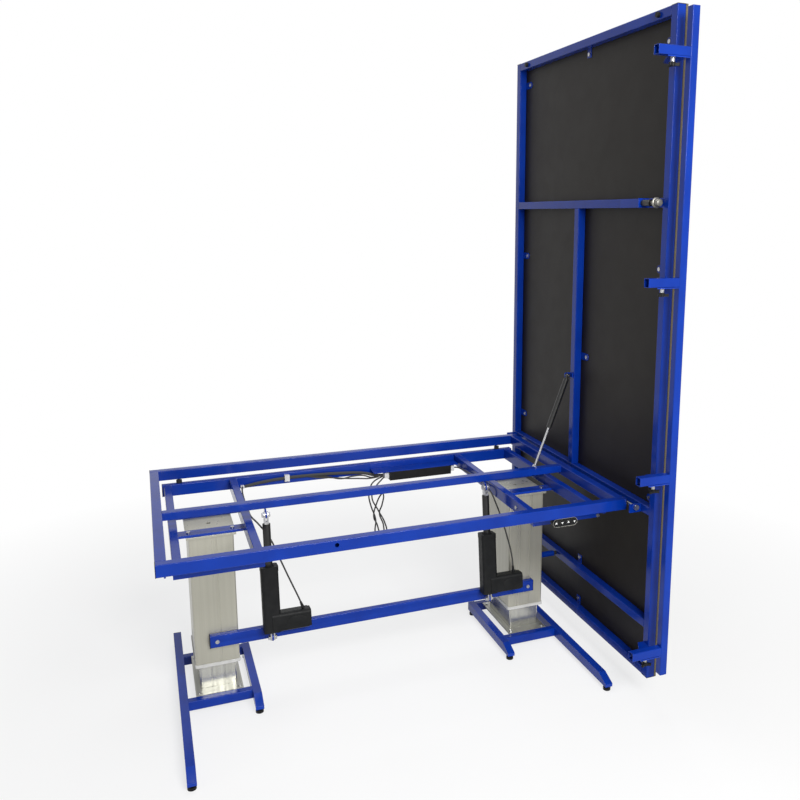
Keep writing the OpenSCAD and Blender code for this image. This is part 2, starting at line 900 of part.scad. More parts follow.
// Tilt lugs, the lugs over the actuators' rods and the lugs of the panel's hinge
module frame_lugs() {
  color([0.05, 0.2, 0.7]) {
    for (s = sides) difference() {
      union() {
        rod_x([s * lug_x - lug_t / 2, tilt_y, tilt_z], lug_r, lug_t);
        block([s * lug_x - lug_t / 2, tilt_y - lug_r, tilt_z], [lug_t, lug_w, rail_z - tilt_z]);
      }
      rod_x([s * lug_x - lug_t, tilt_y, tilt_z], tilt_r + run, lug_t * 2);
    }
    for (s = sides) {
      rod_x([s * drive_x - ear_t / 2, up_y, up_z], ear_r, ear_t);
      block([s * drive_x - ear_t / 2, up_y, up_z], [ear_t, middle_y - up_y, middle_z - up_z]);
    }
    for (y = [hinge_lug_in - half_d, half_d - hinge_lug_in - hinge_lug_t]) difference() {
      union() {
        rod_y([hinge_x, y, hinge_z], hinge_lug_r, hinge_lug_t);
        block([half_l, y, hinge_z - hinge_lug_r],
          [hinge_out, hinge_lug_t, hinge_lug_r * 2]);
      }
      rod_y([hinge_x, y - over, hinge_z], hinge_r + run, hinge_lug_t + over * 2);
      block([half_l - hinge_lug_r, y - over, hinge_z - hinge_lug_r * 2],
        [hinge_lug_r, hinge_lug_t + over * 2, hinge_lug_r * 4]);
    }
  }
}

module strut_stud() {
  rear = middle_y + rail_w / 2;
  color([0.8, 0.8, 0.82])
    rod_y([strut_low_x, rear, strut_low_z], strut_pin_r, strut_y - eye_w / 2 - eye_gap - rear);
}

// Handset under the front rail, with four buttons in pockets

handset_z = rail_z - handset_h / 2;
handset_y = handset_gap - half_d;
button_shares = [-1.5, -0.5, 0.5, 1.5];

module handset_body() {
  r = handset_h / 2;
  color([0.05, 0.05, 0.05]) difference() {
    union() {
      block([handset_at - handset_l / 2 + r, handset_y, rail_z - handset_h],
        [handset_l - handset_h, handset_d, handset_h]);
      for (s = sides) rod_y([handset_at + s * (handset_l / 2 - r), handset_y, handset_z], r,
        handset_d);
    }
    for (share = button_shares)
      rod_y([handset_at + share * button_pitch, handset_y - over, handset_z], button_r + gap,
        button_h + over);
  }
}

module handset_button(i) {
  color([0.2, 0.2, 0.2])
    rod_y([handset_at + button_shares[i] * button_pitch, handset_y - button_travel, handset_z],
      button_r, button_travel + button_sink - gap);
}

// Actuators: everything is drawn about the lower pivot and leant over

module on_axis(s) {
  translate([s * drive_x, low_y, act_low_z]) rotate([-act_lean, 0, 0]) children();
}

// Two prongs from the pivot towards what carries them, with a bolt head on each side; the
// shank is left out where it would cross the open pivot
module fork(z, away, shank) {
  inner = ear_t / 2 + fork_gap;
  outer = inner + prong_t;
  for (s = sides) mirror([s < 0 ? 1 : 0, 0, 0]) {
    rod_x([inner, 0, z], prong_r, prong_t);
    block([inner, -prong_r, min(z, z + away)], [prong_t, prong_r * 2, abs(away)]);
    hex_x([outer, 0, z], bolt_head_r, bolt_head_h);
  }
  if (shank) rod_x([-outer, 0, z], pin_r, outer * 2);
}

module housing(s) {
  color([0.08, 0.08, 0.08]) on_axis(s) difference() {
    union() {
      translate([-act_w / 2, -act_d / 2, act_foot]) linear_extrude(act_h - act_foot)
        rounded(act_w, act_d, housing_r);
      translate([-act_w / 2 - collar_over, -act_d / 2 - collar_over, act_h - act_collar_h])
        linear_extrude(act_collar_h)
          rounded(act_w + collar_over * 2, act_d + collar_over * 2, housing_r + collar_over);
      motor_case(motor_front, motor_back, motor_h, motor_reach - motor_cap, 0);
      motor_case(motor_front, motor_back, motor_h, motor_reach, motor_step);
    }
    rod_z([0, 0, act_foot + bore_end], rod_r + run, act_h);
  }
}

// The motor's case beside the housing, drawn in by a step all round
module motor_case(front, back, h, reach, step) {
  translate([0, step - front, act_foot + step]) rotate([90, 0, 90]) linear_extrude(reach)
    rounded(front + back - step * 2, h - step * 2, motor_r - step);
}

module foot_fork(s) {
  color([0.8, 0.8, 0.82]) on_axis(s) fork(0, act_foot, true);
}

module rod(s) {
  color([0.08, 0.08, 0.08]) on_axis(s)
    rod_z([0, 0, act_h - rod_in], rod_r, act_len - fork_h - act_h + rod_in);
}

module rod_fork(s) {
  reach = ear_t / 2 + fork_gap + prong_t;
  color([0.8, 0.8, 0.82]) on_axis(s) {
    fork(act_len, -fork_h, false);
    block([-reach, -prong_r, act_len - fork_h], [reach * 2, prong_r * 2, fork_base]);
  }
}

// Panel

module board() {
  color([0.1, 0.09, 0.08])
    block([panel_x + panel_t, near_y, panel_low], [board_t, panel_w, panel_h]);
}

centre_low = hinge_rail_top;
centre_high = upper_top - cross_h;

module panel_stiles() {
  color([0.05, 0.2, 0.7]) {
    for (y = [near_y, far_y - stile_w])
      tube([panel_x, y, panel_low + cap_t], [panel_t, stile_w, panel_h - cap_t * 2], 2);
    tube([panel_x, centre_y - stile_w / 2, centre_low],
      [panel_t, stile_w, centre_high - centre_low], 2);
  }
}

cross_tops = [panel_top, upper_top, hinge_rail_top, lower_cross, panel_low + cross_h];

module panel_rails() {
  color([0.05, 0.2, 0.7]) for (z = cross_tops)
    tube([panel_x, near_y + stile_w, z - cross_h], [panel_t, panel_w - stile_w * 2, cross_h], 1);
}

// Screw places of the tabs, then the low corners of the tabs
near_tabs = [for (share = near_tab_shares) [near_y + stile_w, panel_low + panel_h * share, 1]];
far_tabs = [for (share = far_tab_shares) [far_y - stile_w, panel_low + panel_h * share, -1]];
centre_tabs = [[centre_y - stile_w / 2, panel_low + panel_h * centre_tab_share, -1]];
side_tabs = concat(near_tabs, far_tabs, centre_tabs);
rail_tabs = [[top_tab_y, panel_top - cross_h, -1], [low_tab_y, lower_cross, 1],
  [low_tab_y, panel_low + cross_h, 1]];
tab_x = panel_x + panel_t - tab_t;

module tab_plates() {
  straight = side_tab_l - tab_w / 2;
  for (t = side_tabs) difference() {
    union() {
      block([tab_x, t[0] + min(0, t[2] * straight), t[1] - tab_w / 2], [tab_t, straight, tab_w]);
      rod_x([tab_x, t[0] + t[2] * straight, t[1]], tab_w / 2, tab_t);
    }
    rod_x([tab_x - over, t[0] + t[2] * side_screw, t[1]], screw_r, tab_t + over * 2);
  }
  for (t = rail_tabs) difference() {
    block([tab_x, t[0] - tab_w / 2, t[1] + min(0, t[2] * tab_l)], [tab_t, tab_w, tab_l]);
    rod_x([tab_x - over, t[0], t[1] + t[2] * tab_screw], screw_r, tab_t + over * 2);
  }
}

hinge_plate_y = half_d + hinge_plate_out;

module hinge_plates() {
  for (s = sides) difference() {
    block([panel_x - hinge_plate_l, s * (hinge_plate_y + hinge_plate_t / 2) - hinge_plate_t / 2,
      hinge_rail_top - cross_h], [hinge_plate_l, hinge_plate_t, cross_h]);
    rod_y([hinge_x, s * hinge_plate_y - hinge_plate_t * 2, hinge_z], hinge_r + run,
      hinge_plate_t * 4);
  }
}

latch_y = -half_d - latch_gap;

// Base plate on the cross rail, with a flange that faces the front rail when the panel is down
module latch_plates() {
  block([panel_x - latch_t, latch_y - latch_t, upper_top - cross_h],
    [latch_t, latch_base_l, cross_h]);
  difference() {
    block([panel_x - latch_out, latch_y - latch_t, upper_top - cross_h],
      [latch_out - latch_t, latch_t, cross_h]);
    rod_y([latch_x, latch_y - latch_t - over, latch_z], plunger_r + run, latch_t + over * 2);
  }
}

function arm_z(i) = panel_low + panel_h * arm_shares[i] - arm_h;
stud_x = arm_x + slot_in + slot_end + stop_travel;
stud_y = stop_front + stop_w / 2;

// Flat gussets on the near stile, widest under the arms
module arm_guides() {
  for (i = [0:3]) difference() {
    translate([0, 0, arm_z(i) - gap - guide_t]) linear_extrude(guide_t)
      polygon([[stud_x - guide_past, stop_front], [panel_x, stop_front],
        [panel_x, near_y + guide_in], [panel_x - guide_root, near_y + guide_in]]);
    rod_z([stud_x, stud_y, arm_z(i) - gap - guide_t - over], stud_r + run, guide_t + over * 2);
  }
}

// Plate on the centre stile with an ear beside the strut's eye
module strut_ear() {
  ear_y = strut_y + eye_w / 2 + ear_gap;
  base_low = strut_y - eye_w / 2 - ear_gap;
  block([panel_x - latch_t, base_low, strut_up_z - ear_len / 2],
    [latch_t, ear_y + latch_t - base_low, ear_len]);
  difference() {
    block([strut_up_x - eye_r, ear_y, strut_up_z - ear_len / 2],
      [panel_x - latch_t - strut_up_x + eye_r, latch_t, ear_len]);
    rod_y([strut_up_x, ear_y - over, strut_up_z], strut_pin_r, latch_t + over * 2);
  }
}

module panel_brackets() {
  color([0.05, 0.2, 0.7]) {
    tab_plates();
    hinge_plates();
    latch_plates();
    arm_guides();
    strut_ear();
  }
}

// Screws of the tabs, nuts and washers of the clamps, and the strut's upper pin
module panel_fasteners() {
  color([0.8, 0.8, 0.82]) {
    for (t = side_tabs)
      rod_x([tab_x - tab_t, t[0] + t[2] * side_screw, t[1]], screw_head_r, tab_t);
    for (t = rail_tabs)
      rod_x([tab_x - tab_t, t[0], t[1] + t[2] * tab_screw], screw_head_r, tab_t);
    for (i = [0:3]) {
      difference() {
        block([stud_x - nut_w / 2, stud_y - nut_w / 2, arm_z(i) + wall + gap],
          [nut_w, nut_w, nut_h]);
        rod_z([stud_x, stud_y, arm_z(i)], stud_r + run, nut_h * 2);
      }
      difference() {
        rod_z([stud_x, stud_y, arm_z(i) - gap - guide_t - washer_t], washer_r, washer_t);
        rod_z([stud_x, stud_y, arm_z(i) - guide_t * 3], stud_r + run, guide_t * 4);
      }
    }
    rod_y([strut_up_x, strut_y - eye_w / 2, strut_up_z], strut_pin_r,
      eye_w + ear_gap + latch_t);
  }
}

// Caps of the stiles and the two buffers on the top rail
module panel_plastics() {
  color([0.05, 0.05, 0.05]) {
    for (y = [near_y, far_y - stile_w]) {
      end_cap([panel_x, y, panel_low + cap_t], [panel_t, stile_w, 0], 2, -1);
      end_cap([panel_x, y, panel_top - cap_t], [panel_t, stile_w, 0], 2, 1);
    }
    for (y = [near_buffer_y, far_buffer_y])
      rod_x([panel_x - buffer_h, y, panel_top - buffer_drop], buffer_r, buffer_h);
  }
}

// Hinge pins: head outside the panel's plate, end just past the frame's lug
module hinge_pins() {
  reach = hinge_plate_out + hinge_plate_t + hinge_lug_in + hinge_lug_t + pin_end;
  color([0.8, 0.8, 0.82]) for (s = sides) mirror([0, s > 0 ? 1 : 0, 0]) {
    rod_y([hinge_x, -hinge_plate_y - hinge_plate_t - pin_head_h, hinge_z], pin_head_r,
      pin_head_h);
    rod_y([hinge_x, -hinge_plate_y - hinge_plate_t, hinge_z], hinge_r, reach);
  }
}

// Latch

module latch_barrel() {
  color([0.06, 0.06, 0.06]) difference() {
    rod_y([latch_x, latch_y - latch_t - barrel_l, latch_z], barrel_r, barrel_l);
    rod_y([latch_x, latch_y - latch_t - barrel_l - over, latch_z], plunger_r + run,
      barrel_l + over * 2);
  }
}

module latch_plunger() {
  tip = plunger_tip - half_d;
  color([0.06, 0.06, 0.06]) {
    rod_y([latch_x, tip - plunger_l, latch_z], plunger_r, plunger_l);
    rod_y([latch_x, tip - plunger_l - knob_flange, latch_z], knob_r, knob_flange);
    rod_y([latch_x, tip - plunger_l - knob_l, latch_z], knob_grip_r, knob_l - knob_flange + over);
  }
}

// Gas strut: everything is drawn about the upper pivot, pointing down the strut

module on_strut() {
  translate([strut_up_x, strut_y, strut_up_z]) rotate([0, 180 + strut_lean, 0]) children();
}

module strut_cylinder() {
  color([0.05, 0.05, 0.05]) on_strut() difference() {
    union() {
      rod_y([0, -eye_w / 2, 0], eye_r, eye_w);
      rod_z([0, 0, 0], strut_rod_r + over, strut_neck);
      rod_z([0, 0, strut_neck], strut_r, strut_l - strut_neck);
    }
    rod_y([0, -eye_w, 0], strut_pin_r + run, eye_w * 2);
    rod_z([0, 0, strut_neck + strut_r], strut_rod_r + run, strut_l);
  }
}

// The rod's hidden end starts far enough down to leave the cylinder's end free when pushed in
module strut_rod() {
  start = strut_neck + strut_r + strut_travel + strut_end;
  color([0.8, 0.8, 0.82]) on_strut() {
    rod_z([0, 0, start], strut_rod_r, strut_len - start);
    rod_y([0, -eye_w / 2, strut_len], eye_r, eye_w);
  }
}

// Stop rail and its four open arms, each with a slot for the clamp's stud

module stop_arm(i) {
  difference() {
    tube([arm_x, stop_front, arm_z(i)], [arm_l, stop_w, arm_h], 0);
    block([stud_x - stop_travel - slot_end, stud_y - slot_w / 2, arm_z(i) - over],
      [stop_travel + slot_end * 2, slot_w, wall + over * 2]);
  }
}

module stop_rail() {
  color([0.05, 0.2, 0.7])
    tube([panel_x, stop_front, stop_low], [stop_w, stop_w, stop_high - stop_low], 2);
}

module stop_arms() {
  color([0.05, 0.2, 0.7]) for (i = [0:3]) stop_arm(i);
}

// Three-armed clamp knob under its guide, with a neck that bears on the washer
module clamp_knob(i) {
  top = arm_z(i) - gap - guide_t - washer_t - gap;
  low = top - neck_h - hub_h;
  color([0.05, 0.05, 0.05]) {
    rod_z([stud_x, stud_y, low], hub_r, hub_h);
    rod_z([stud_x, stud_y, top - neck_h - over], neck_r, neck_h + over);
    rod_z([stud_x, stud_y, top - over], stud_r, arm_z(i) + wall + nut_h - top + over);
    for (a = [0, 120, 240]) translate([stud_x, stud_y, low]) rotate([0, 0, a + grip_turn]) {
      block([0, -grip_w / 2, 0], [grip_l, grip_w, grip_h]);
      rod_z([grip_l, 0, 0], grip_w / 2, grip_h);
    }
  }
}

placed() foot_runners();
placed() foot_crossbars();
placed() foot_pads();
placed() base_plates();
placed() base_screws();
placed() inner_columns();
placed() column_glides();
placed() lift_motors();
placed() outer_columns();
placed() column_collars();
placed() column_heads();
placed() lift_tubes();
placed() crossbar();
placed() lift_caps();
placed() lift_bolts();
placed() support_plates();
placed() lower_rear_rail();
placed() support_beams();
placed() rubber_stops();
placed() control_shelf();
placed() control_box();
placed() cables();
placed() cable_fittings();
placed() stop_tube();
placed() long_rails();
placed() end_rails();
placed() middle_rail();
placed() frame_caps();
placed() frame_lugs();
placed() strut_stud();
placed() handset_body();
placed() handset_button(0);  // handset_button_1
placed() handset_button(1);  // handset_button_2
placed() handset_button(2);  // handset_button_3
placed() handset_button(3);  // handset_button_4
placed() housing(-1);  // left_housing
placed() foot_fork(-1);  // left_foot_fork
placed() rod(-1);  // left_rod
placed() rod_fork(-1);  // left_rod_fork
placed() housing(1);  // right_housing
placed() foot_fork(1);  // right_foot_fork
placed() rod(1);  // right_rod
placed() rod_fork(1);  // right_rod_fork
placed() board();
placed() panel_stiles();
placed() panel_rails();
placed() panel_brackets();
placed() panel_fasteners();
placed() panel_plastics();
placed() hinge_pins();
placed() latch_barrel();
placed() latch_plunger();
placed() strut_cylinder();
placed() strut_rod();
placed() stop_rail();
placed() stop_arms();
placed() clamp_knob(0);  // clamp_knob_1
placed() clamp_knob(1);  // clamp_knob_2
placed() clamp_knob(2);  // clamp_knob_3
placed() clamp_knob(3);  // clamp_knob_4
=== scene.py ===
"""Looks of a height-adjustable tilting table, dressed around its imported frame.

The construction comes from the frame: every tube, plate and bolt is one of its nodes. This
script gives each node its finish and soft edges. It draws the cables with their strain reliefs,
turns the latch's knob and the clamps' sleeves, and adds the handset's rim and marks and the
actuators' mouldings.

Lengths are in metres. The cables' routes and radii are in millimetres, as in the part's source.
"""

import json
import logging
import math
from dataclasses import dataclass
from enum import Enum

import bmesh
import bpy
from mathutils import Matrix, Vector

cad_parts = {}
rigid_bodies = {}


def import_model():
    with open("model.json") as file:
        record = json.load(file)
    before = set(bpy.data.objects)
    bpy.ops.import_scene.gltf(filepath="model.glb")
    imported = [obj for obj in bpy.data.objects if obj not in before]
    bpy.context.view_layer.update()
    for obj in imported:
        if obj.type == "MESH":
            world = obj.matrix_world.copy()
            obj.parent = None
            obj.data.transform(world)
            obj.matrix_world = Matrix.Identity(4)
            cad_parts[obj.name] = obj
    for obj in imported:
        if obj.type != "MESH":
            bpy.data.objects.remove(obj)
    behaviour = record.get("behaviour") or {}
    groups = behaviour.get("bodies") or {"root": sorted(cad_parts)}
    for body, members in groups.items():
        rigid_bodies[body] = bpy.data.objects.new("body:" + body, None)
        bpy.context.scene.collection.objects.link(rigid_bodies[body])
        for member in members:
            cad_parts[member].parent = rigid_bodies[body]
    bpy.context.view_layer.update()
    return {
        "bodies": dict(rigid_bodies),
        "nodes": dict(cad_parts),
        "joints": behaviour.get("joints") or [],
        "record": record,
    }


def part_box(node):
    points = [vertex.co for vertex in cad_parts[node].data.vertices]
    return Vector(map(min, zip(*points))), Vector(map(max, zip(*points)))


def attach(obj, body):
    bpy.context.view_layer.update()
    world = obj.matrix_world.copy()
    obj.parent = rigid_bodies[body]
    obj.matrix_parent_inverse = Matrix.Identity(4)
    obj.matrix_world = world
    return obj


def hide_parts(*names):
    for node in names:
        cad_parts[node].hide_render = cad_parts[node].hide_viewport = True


LOG = logging.getLogger("tilting_table")
MM = 0.001

Colour = tuple[float, float, float]
Point = tuple[float, float, float]
Range = tuple[float, float]
Socket = bpy.types.NodeSocket


class Arrow(Enum):
    """The ways a handset's arrow points, as turns in degrees."""

    UP = 0.0
    DOWN = 180.0


class Shader:
    """A material's node tree, with short calls for the nodes that the finishes share.

    NOISE_MIDDLE is the range that holds most of a noise, and POINTED that of the pointiness from a
    faintly rounded edge to a sharp one.
    """

    NOISE_MIDDLE: Range = (0.3, 0.7)
    POINTED: Range = (0.53, 0.62)

    def __init__(self, name: str) -> None:
        """Makes an empty material.

        Args:
            name: the material's name.
        """
        self.material = bpy.data.materials.new(name)
        self.material.use_nodes = True
        self.tree = self.material.node_tree
        self.surface = self.tree.nodes["Principled BSDF"]
        self.coords = self.tree.nodes.new("ShaderNodeTexCoord")

    def link(self, output: Socket, target: Socket) -> None:
        """Joins an output to an input."""
        self.tree.links.new(output, target)

    def stretched(self, stretch: Point) -> Socket:
        """Object coordinates scaled along each axis.

        Args:
            stretch: the scale along X, Y and Z.

        Returns:
            The scaled coordinates.
        """
        mapping = self.tree.nodes.new("ShaderNodeMapping")
        mapping.inputs["Scale"].default_value = stretch
        self.link(self.coords.outputs["Object"], mapping.inputs["Vector"])
        return mapping.outputs["Vector"]

    def noise(self, scale: float, detail: float, stretch: Point = (1, 1, 1)) -> Socket:
        """A noise texture in metres.

        Args:
            scale: features per metre.
            detail: octaves.
            stretch: how much denser the noise is along each axis.

        Returns:
            The noise's factor.
        """
        node = self.tree.nodes.new("ShaderNodeTexNoise")
        node.inputs["Scale"].default_value = scale
        node.inputs["Detail"].default_value = detail
        self.link(self.stretched(stretch), node.inputs["Vector"])
        return node.outputs["Fac"]

    def ramp(self, factor: Socket, stops: list[tuple[float, Colour]]) -> Socket:
        """A colour ramp between two colours.

        Args:
            factor: what drives the ramp.
            stops: the two colours' places and colours, in order.

        Returns:
            The ramp's colour.
        """
        node = self.tree.nodes.new("ShaderNodeValToRGB")
        for element, (place, colour) in zip(node.color_ramp.elements, stops):
            element.position = place
            element.color = (*colour, 1.0)
        self.link(factor, node.inputs["Fac"])
        return node.outputs["Color"]

    def mapped(self, value: Socket, old: Range, new: Range) -> Socket:
        """Maps one range of values onto another.

        Args:
            value: what is mapped.
            old: the range that it comes from.
            new: the range that it goes to.

        Returns:
            The mapped value.
        """
        node = self.tree.nodes.new("ShaderNodeMapRange")
        for name, end in zip(("From Min", "From Max", "To Min", "To Max"), (*old, *new)):
            node.inputs[name].default_value = end
        self.link(value, node.inputs["Value"])
        return node.outputs["Result"]

    def spread(self, noise: Socket, low: float, high: float) -> Socket:
        """Maps the middle of a noise onto the values from low in its hollows to high on its crests."""
        return self.mapped(noise, self.NOISE_MIDDLE, (low, high))

    def mixer(self, factor: Socket, first: Socket) -> bpy.types.Node:
        """Starts a mix of two colours.

        Args:
            factor: 0 gives the first colour, 1 the second.
            first: the colour at 0.

        Returns:
            The mix, with its second colour still open.
        """
        node = self.tree.nodes.new("ShaderNodeMix")
        node.data_type = "RGBA"
        self.link(factor, node.inputs["Factor"])
        self.link(first, node.inputs["A"])
        return node

    def mix(self, factor: Socket, first: Socket, second: Socket) -> Socket:
        """Mixes two colours.

        Args:
            factor: 0 gives the first colour, 1 the second.
            first: the colour at 0.
            second: the colour at 1.

        Returns:
            The mixed colour.
        """
        node = self.mixer(factor, first)
        self.link(second, node.inputs["B"])
        return node.outputs["Result"]

    def tinted(self, factor: Socket, first: Socket, tint: Colour) -> Socket:
        """Mixes a plain tint into a colour.

        Args:
            factor: how far the tint comes through.
            first: the colour at 0.
            tint: the colour at 1.

        Returns:
            The mixed colour.
        """
        node = self.mixer(factor, first)
        node.inputs["B"].default_value = (*tint, 1.0)
        return node.outputs["Result"]

    def relief(self, height: Socket, strength: float, depth: float) -> None:
        """Bumps the surface.

        Args:
            height: the height's factor.
            strength: how strongly the bump acts.
            depth: the bump's depth in metres.
        """
        node = self.tree.nodes.new("ShaderNodeBump")
        node.inputs["Strength"].default_value = strength
        node.inputs["Distance"].default_value = depth
        self.link(height, node.inputs["Height"])
        self.link(node.outputs["Normal"], self.surface.inputs["Normal"])

    def painted_edge_highlight(self, colour: Socket, highlight_colour: Colour, amount: float) -> Socket:
        """Paints a highlight along the piece's outer edges, by lightening the colour there.

        Args:
            colour: the colour away from edges.
            highlight_colour: the painted highlight's colour on a sharp edge.
            amount: how far the painted highlight comes through.

        Returns:
            The colour with its painted edge highlights.
        """
        geometry = self.tree.nodes.new("ShaderNodeNewGeometry")
        reach = self.mapped(geometry.outputs["Pointiness"], self.POINTED, (0.0, amount))
        return self.tinted(reach, colour, highlight_colour)


@dataclass(frozen=True)
class Paint:
    """Glossy powder coat on steel, with its orange peel and faint clouds.

    Along its sharp edges a highlight is painted: the bright colour, times highlight_gain and lifted by
    highlight_lift.
    """

    name: str
    deep: Colour
    bright: Colour
    sheen: Range
    specular: float
    highlight_gain: float = 1.6
    highlight_lift: float = 0.02

    def material(self) -> bpy.types.Material:
        """Makes the material.

        Returns:
            The material.
        """
        shader = Shader(self.name)
        clouds = shader.noise(scale=9.0, detail=4.0)
        colour = shader.ramp(clouds, [(0.3, self.deep), (0.72, self.bright)])
        # Painted highlight: sharp edges are lightened towards a brighter copy of the bright colour
        highlight_colour = tuple(min(1.0, self.highlight_gain * share + self.highlight_lift) for share in self.bright)
        colour = shader.painted_edge_highlight(colour, highlight_colour, amount=0.5)
        shader.link(colour, shader.surface.inputs["Base Color"])
        haze = shader.noise(scale=60.0, detail=5.0)
        shader.link(shader.spread(haze, *self.sheen), shader.surface.inputs["Roughness"])
        shader.surface.inputs["Specular IOR Level"].default_value = self.specular
        shader.relief(shader.noise(scale=420.0, detail=2.0), strength=0.12, depth=0.3 * MM)
        return shader.material


@dataclass(frozen=True)
class DrawnMetal:
    """Metal drawn or rolled along one axis, with streaks that run that way."""

    name: str
    dark: Colour
    light: Colour
    stretch: Point
    metal: float
    sheen: Range = (0.25, 0.42)

    def material(self) -> bpy.types.Material:
        """Makes the material.

        Returns:
            The material.
        """
        shader = Shader(self.name)
        streaks = shader.noise(scale=120.0, detail=6.0, stretch=self.stretch)
        colour = shader.ramp(streaks, [(0.25, self.dark), (0.75, self.light)])
        shader.link(colour, shader.surface.inputs["Base Color"])
        haze = shader.noise(scale=40.0, detail=4.0, stretch=self.stretch)
        shader.link(shader.spread(haze, *self.sheen), shader.surface.inputs["Roughness"])
        shader.surface.inputs["Metallic"].default_value = self.metal
        shader.relief(streaks, strength=0.10, depth=0.2 * MM)
        return shader.material


@dataclass(frozen=True)
class Moulding:
    """Moulded plastic or rubber with a fine grain."""

    name: str
    deep: Colour
    bright: Colour
    grain: float = 900.0
    sheen: Range = (0.42, 0.58)
    strength: float = 0.25
    specular: float = 0.3

    def material(self) -> bpy.types.Material:
        """Makes the material.

        Returns:
            The material.
        """
        shader = Shader(self.name)
        clouds = shader.noise(scale=35.0, detail=4.0)
        colour = shader.ramp(clouds, [(0.3, self.deep), (0.7, self.bright)])
        shader.link(colour, shader.surface.inputs["Base Color"])
        haze = shader.noise(scale=80.0, detail=3.0)
        shader.link(shader.spread(haze, *self.sheen), shader.surface.inputs["Roughness"])
        shader.surface.inputs["Specular IOR Level"].default_value = self.specular
        shader.relief(shader.noise(scale=self.grain, detail=2.0), self.strength, depth=0.2 * MM)
        return shader.material


@dataclass(frozen=True)
class FacedBoard:
    """Plywood with a dark film on its faces and bare plies along its two upright edges.

    The plies' pattern is much finer across the board than along it. An edge is a face that is
    turned to the row's Y by more than sideways.
    """

    name: str
    film_deep: Colour
    film_bright: Colour
    ply_dark: Colour
    ply_light: Colour
    plies_per_metre: float = 620.0
    finer: float = 20.0
    sideways: float = 0.5
    specular: float = 0.17

    def plies(self, shader: Shader) -> Socket:
        """The bare plies' colour, in bands that a long stain darkens here and there.

        Args:
            shader: the board's node tree.

        Returns:
            The colour.
        """
        wave = shader.tree.nodes.new("ShaderNodeTexWave")
        wave.bands_direction = "X"
        wave.inputs["Scale"].default_value = self.plies_per_metre / self.finer
        wave.inputs["Distortion"].default_value = 0.6
        shader.link(shader.stretched((self.finer, 1.0, 1.0)), wave.inputs["Vector"])
        bands = shader.ramp(wave.outputs["Fac"], [(0.3, self.ply_dark), (0.7, self.ply_light)])
        stain = shader.noise(scale=1.6, detail=2.0, stretch=(0.02, 0.02, 1.0))
        return shader.tinted(shader.spread(stain, low=0.0, high=0.6), bands, self.ply_dark)

    def edges(self, shader: Shader) -> Socket:
        """Where the board's upright edges are.

        Args:
            shader: the board's node tree.

        Returns:
            1 on an edge and 0 on a face.
        """
        across = shader.tree.nodes.new("ShaderNodeSeparateXYZ")
        shader.link(shader.coords.outputs["Normal"], across.inputs["Vector"])
        size = shader.tree.nodes.new("ShaderNodeMath")
        size.operation = "ABSOLUTE"
        shader.link(across.outputs["Y"], size.inputs[0])
        edge = shader.tree.nodes.new("ShaderNodeMath")
        edge.operation = "GREATER_THAN"
        edge.inputs[1].default_value = self.sideways
        shader.link(size.outputs[0], edge.inputs[0])
        return edge.outputs[0]

    def material(self) -> bpy.types.Material:
        """Makes the material.

        Returns:
            The material.
        """
        shader = Shader(self.name)
        clouds = shader.noise(scale=5.0, detail=6.0)
        film = shader.ramp(clouds, [(0.3, self.film_deep), (0.75, self.film_bright)])
        colour = shader.mix(self.edges(shader), film, self.plies(shader))
        shader.link(colour, shader.surface.inputs["Base Color"])
        haze = shader.noise(scale=14.0, detail=5.0)
        shader.link(shader.spread(haze, low=0.45, high=0.50), shader.surface.inputs["Roughness"])
        shader.surface.inputs["Specular IOR Level"].default_value = self.specular
        shader.relief(shader.noise(scale=300.0, detail=3.0), strength=0.06, depth=0.3 * MM)
        return shader.material


# One finish for each of the frame's material slots, and variants named after their slot
BLUE = Paint("blue_paint", (0.0010, 0.023, 0.235), (0.0015, 0.033, 0.31), (0.13, 0.22), 0.19)
SILVER = DrawnMetal("column_silver", (0.38, 0.37, 0.31), (0.43, 0.42, 0.355), (1.0, 1.0, 0.01), 0.5)
POLISHED = DrawnMetal("column_silver_inner", (0.42, 0.42, 0.38), (0.52, 0.52, 0.48), (1.0, 1.0, 0.02), 0.8,
                      (0.16, 0.26))
PLATE = DrawnMetal("column_silver_plate", (0.34, 0.34, 0.31), (0.40, 0.40, 0.37), (1.0, 0.05, 1.0), 0.6)
WHITE = Moulding("collar_white", (0.50, 0.50, 0.48), (0.58, 0.58, 0.56), 700.0, (0.35, 0.5), 0.1)
ZINC = DrawnMetal("zinc", (0.34, 0.34, 0.35), (0.50, 0.50, 0.51), (1.0, 1.0, 1.0), 0.9, (0.2, 0.35))
KNOB = DrawnMetal("zinc_knob", (0.15, 0.145, 0.13), (0.21, 0.205, 0.185), (1.0, 1.0, 1.0), 0.8, (0.3, 0.4))
BLACK_PLASTIC = Moulding("black_plastic", (0.006, 0.006, 0.0065), (0.010, 0.010, 0.011), specular=0.16)
DARK_PLASTIC = Moulding("dark_plastic", (0.006, 0.0065, 0.007), (0.011, 0.0115, 0.012), 1100.0,
                        specular=0.14)
PALE_PLASTIC = Moulding("light_plastic", (0.55, 0.55, 0.55), (0.68, 0.68, 0.68), 700.0, (0.3, 0.45), 0.1)
RUBBER = Moulding("black_rubber", (0.010, 0.010, 0.010), (0.018, 0.018, 0.018), 500.0, (0.7, 0.85), 0.3)
BLACK_METAL = Paint("black_metal", (0.006, 0.006, 0.006), (0.011, 0.011, 0.011), (0.30, 0.42), 0.4)
GREY_METAL = Paint("dark_metal", (0.030, 0.030, 0.032), (0.045, 0.045, 0.048), (0.4, 0.5), 0.4)
BOARD = FacedBoard("film_faced_board", (0.0080, 0.0060, 0.0044), (0.0100, 0.0076, 0.0058),
                   (0.07, 0.058, 0.036), (0.24, 0.21, 0.145))
SHEATH = Moulding("cable_black", (0.006, 0.006, 0.006), (0.012, 0.012, 0.012), 400.0, (0.3, 0.42), 0.1, 0.5)
MARK = Moulding("light_plastic_mark", (0.62, 0.62, 0.62), (0.70, 0.70, 0.70), 500.0, (0.5, 0.6), 0.05)
